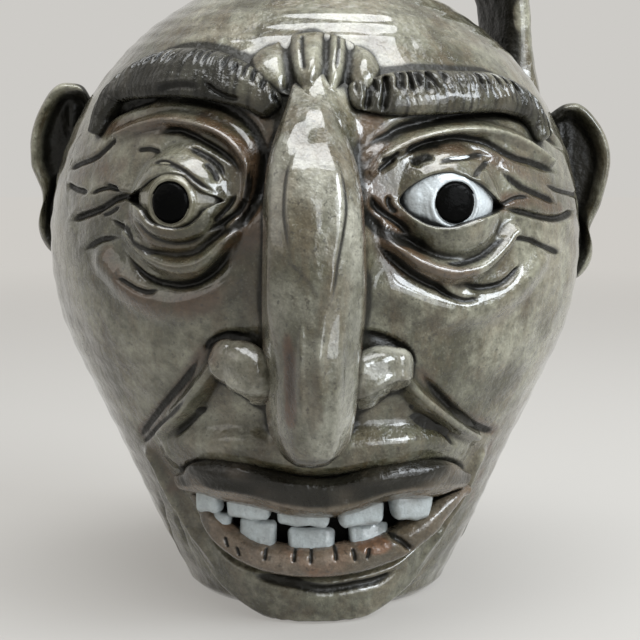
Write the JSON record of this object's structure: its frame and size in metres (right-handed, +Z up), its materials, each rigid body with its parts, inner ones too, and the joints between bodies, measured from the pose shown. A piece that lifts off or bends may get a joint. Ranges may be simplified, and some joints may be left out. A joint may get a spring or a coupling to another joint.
{
  "type": "face jug",
  "caption": "Round stoneware jug with a short neck, a strap handle and an applied grotesque face with two rows of teeth.",
  "frame": {"origin": "centre of the foot, on the surface that the jug stands on", "axes": "+Z up along the jug's axis, -Y out of the face, +X to the right of the face as seen from the front"},
  "size_m": [0.1896, 0.1788, 0.226],
  "materials": {
    "ash_glaze": "glossy grey-green ash glaze, darker where it pools",
    "white_clay": "glossy white clay under a thin clear glaze",
    "dark_glaze": "glossy black"
  },
  "bodies": {
    "root": {"chin": "ash_glaze", "frown_crest": "ash_glaze", "handle": "ash_glaze", "jug_body": "ash_glaze", "left_brow": "ash_glaze", "left_ear": "ash_glaze", "left_eyeball": "white_clay", "left_lower_fold": "ash_glaze", "left_lower_lid": "ash_glaze", "left_nose_wing": "ash_glaze", "left_pupil": "dark_glaze", "left_smile_fold": "ash_glaze", "left_upper_fold": "ash_glaze", "left_upper_lid": "ash_glaze", "lower_lip": "ash_glaze", "lower_tooth_1": "white_clay", "lower_tooth_2": "white_clay", "lower_tooth_3": "white_clay", "mouth_bed": "dark_glaze", "muzzle": "ash_glaze", "nose": "ash_glaze", "right_brow": "ash_glaze", "right_ear": "ash_glaze", "right_eyeball": "white_clay", "right_lower_fold": "ash_glaze", "right_lower_lid": "ash_glaze", "right_nose_wing": "ash_glaze", "right_pupil": "dark_glaze", "right_smile_fold": "ash_glaze", "right_upper_fold": "ash_glaze", "right_upper_lid": "ash_glaze", "upper_lip": "ash_glaze", "upper_tooth_1": "white_clay", "upper_tooth_2": "white_clay", "upper_tooth_3": "white_clay", "upper_tooth_4": "white_clay", "upper_tooth_5": "white_clay"}
  },
  "joints": []
}
